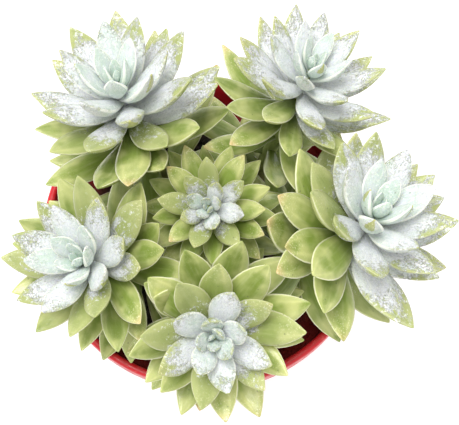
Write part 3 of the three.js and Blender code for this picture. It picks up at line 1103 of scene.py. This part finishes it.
def make_pot():
    pot = draw_up_pot()
    drill_pot(pot)
    warp_pot(pot)
    pick_out(pot)
    bpy.ops.object.shade_smooth_by_angle(angle=radians(40))
    pot.data.materials.append(pot_finish())
    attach(pot, "root")
    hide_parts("pot")


# The top of the soil: a low crown, level with SOIL_TOP at the wall, with uneven lumps where waves cross
def soil_height(x, y):
    outward = hypot(x, y) / pot_inner_radius(SOIL_TOP)
    lumps = sin(0.31 * x + 1.3) * cos(0.27 * y) + 0.5 * sin(0.55 * (x - y))
    return SOIL_TOP + (SOIL_CROWN + SOIL_LUMP * lumps) * (1 - outward ** 4)


def soil_finish(name, dark, light):
    """Mottled and fibrous, and reddened near the wall by light through the plastic."""
    finish = Finish(name)
    place = finish.object_place()
    mottle = finish.noise(place, 300, 5, 0.7)
    fibre = finish.noise(finish.stretch(place, (1, 0.3, 1)), 1500, 3, 0.6)
    colour = finish.blend(finish.ease(mottle, 0.3, 0.7), dark, light)
    colour = finish.blend(finish.ease(fibre, 0.6, 0.8, 0, 0.5), colour, light)
    near_wall = finish.ease(finish.reach(place), RED_LIGHT_FROM * MM, RED_LIGHT_TO * MM, 0, 0.85)
    colour = finish.blend(near_wall, colour, tint(126, 10, 10))
    finish.surface(
        Base_Color=colour,
        Roughness=finish.ease(mottle, 0.3, 0.7, 0.8, 1.0),
        Normal=finish.bump(finish.add(mottle, fibre), 0.0006, 0.8),
    )
    return finish.material


def make_soil():
    """Damp peaty soil up to a low crown, with a crumbled top."""
    bottom = FLOOR_THICKNESS + FIT_GAP
    top_radius = pot_inner_radius(SOIL_TOP) - FIT_GAP
    bpy.ops.mesh.primitive_cone_add(
        vertices=SOIL_SIDES, radius1=(pot_inner_radius(bottom) - FIT_GAP) * MM, radius2=top_radius * MM,
        depth=(SOIL_TOP - bottom) * MM, location=(0, 0, (SOIL_TOP + bottom) / 2 * MM))
    soil = newest("potting_soil")
    place_in_mesh(soil)
    start_editing(soil)
    pick_faces(soil, lambda centre, normal: normal.z > 0.9)
    for ring in range(1, SOIL_RINGS):
        extrude((0, 0, 0))
        shrink = (SOIL_RINGS - ring) / (SOIL_RINGS - ring + 1)
        resize((shrink, shrink, 1), (0, 0, SOIL_TOP * MM))
    bpy.ops.mesh.poke()
    tidy_normals()
    stop_editing()
    points = mesh_points(soil.data)
    for point in points:
        x, y, z = point / MM
        if z > SOIL_TOP - 0.1 and hypot(x, y) < top_radius - 0.1:
            crumble = noise.fractal(Vector((x, y, 5)) * CRUMBLE_SCALE, 1, 2, 4)
            point[2] = (soil_height(x, y) + SOIL_CRUMBLE * crumble) * MM
    set_mesh_points(soil.data, points)
    soil.data.materials.append(soil_finish("damp_peat", tint(14, 13, 9), tint(40, 34, 24)))
    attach(soil, "root")
    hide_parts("soil")


def model_crumb(name, seed, shape):
    """A rough crumb about one across."""
    bpy.ops.mesh.primitive_cube_add(size=0.75)
    crumb = newest(name)
    start_editing(crumb)
    bpy.ops.mesh.select_all(action="SELECT")
    bpy.ops.mesh.subdivide(number_cuts=1, smoothness=0.9)
    bpy.ops.transform.vertex_random(offset=0.09, seed=seed)
    resize(shape, (0, 0, 0))
    stop_editing()
    return crumb


# Crumbs on the soil: name, seed, shape, dark and light colour, how many, and smallest and largest size
CRUMB_KINDS = [
    ("peat_crumb", 3, (1, 0.85, 0.7), tint(22, 18, 12), tint(60, 50, 34), 620, 1.2, 3.4),
    ("bark_chip", 8, (1.8, 0.8, 0.35), tint(44, 30, 20), tint(88, 66, 46), 90, 1.6, 3.4),
    ("pale_grain", 5, (0.9, 0.8, 0.8), tint(120, 114, 100), tint(176, 170, 156), 36, 0.7, 1.4),
]


def make_crumbs():
    """Loose crumbs of peat, chips of bark and a few pale grains, half sunk in the top of the soil."""
    chance = Random(5)
    copies = []
    for name, seed, shape, dark, light, number, smallest, largest in CRUMB_KINDS:
        master = model_crumb(name, seed, shape)
        master.data.materials.append(soil_finish(name + "s", dark, light))
        for _ in range(number):
            reach = (pot_inner_radius(SOIL_TOP) - CRUMB_MARGIN) * sqrt(chance.random())
            turn = chance.uniform(0, 2 * pi)
            x = reach * cos(turn)
            y = reach * sin(turn)
            size = chance.uniform(smallest, largest)
            tilt = Matrix.Rotation(chance.uniform(-CRUMB_TILT, CRUMB_TILT), 4, "X")
            tilt = tilt @ Matrix.Rotation(chance.uniform(0, 6.28), 4, "Z")
            place = Vector((x, y, soil_height(x, y) + CRUMB_RISE * size)) * MM
            twin = copy_with_own_mesh(master)
            twin.data.transform(Matrix.Translation(place) @ tilt @ Matrix.Scale(size * MM, 4))
            copies.append(twin)
        bpy.data.objects.remove(master)
    crumbs = copies.pop(0)
    join_into(crumbs, copies)
    crumbs.name = "soil_crumbs"
    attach(crumbs, "root")


def make_camera():
    lean = radians(CAMERA_ELEVATION)
    back = Vector((0, -cos(lean), sin(lean)))
    place = (Vector(CAMERA_TARGET) + back * CAMERA_DISTANCE) * MM
    bpy.ops.object.camera_add(location=place, rotation=(pi / 2 - lean, 0, 0))
    camera = bpy.context.object
    camera.data.lens = CAMERA_LENS
    camera.data.clip_start = 0.01
    bpy.context.scene.camera = camera


def make_floor():
    """A pale floor that glows a little of itself, so its shadows stay light."""
    bpy.ops.mesh.primitive_plane_add(size=FLOOR_SIZE)
    floor = newest("studio_floor")
    paint = Finish("pale_floor")
    paint.surface(
        Base_Color=FLOOR_GREY, Roughness=0.9, Emission_Color=(1.0, 1.0, 1.0), Emission_Strength=FLOOR_GLOW)
    floor.data.materials.append(paint.material)


def make_light():
    """An even bright sky, and one broad lamp high on the left."""
    sky = bpy.data.worlds.new("studio_sky")
    sky.use_nodes = True
    background = sky.node_tree.nodes["Background"]
    background.inputs["Color"].default_value = SKY_COLOUR
    background.inputs["Strength"].default_value = SKY_STRENGTH
    bpy.context.scene.world = sky
    bpy.ops.object.light_add(type="AREA", location=LAMP_PLACE, rotation=(0, LAMP_TILT, 0))
    lamp = bpy.context.object
    lamp.data.size = LAMP_SIZE
    lamp.data.energy = LAMP_POWER
    # Colours are shown as they are, with no film curve over them
    bpy.context.scene.view_settings.view_transform = "Standard"


make_camera()
make_floor()
make_light()
make_pot()
make_soil()
make_crumbs()
make_plants()
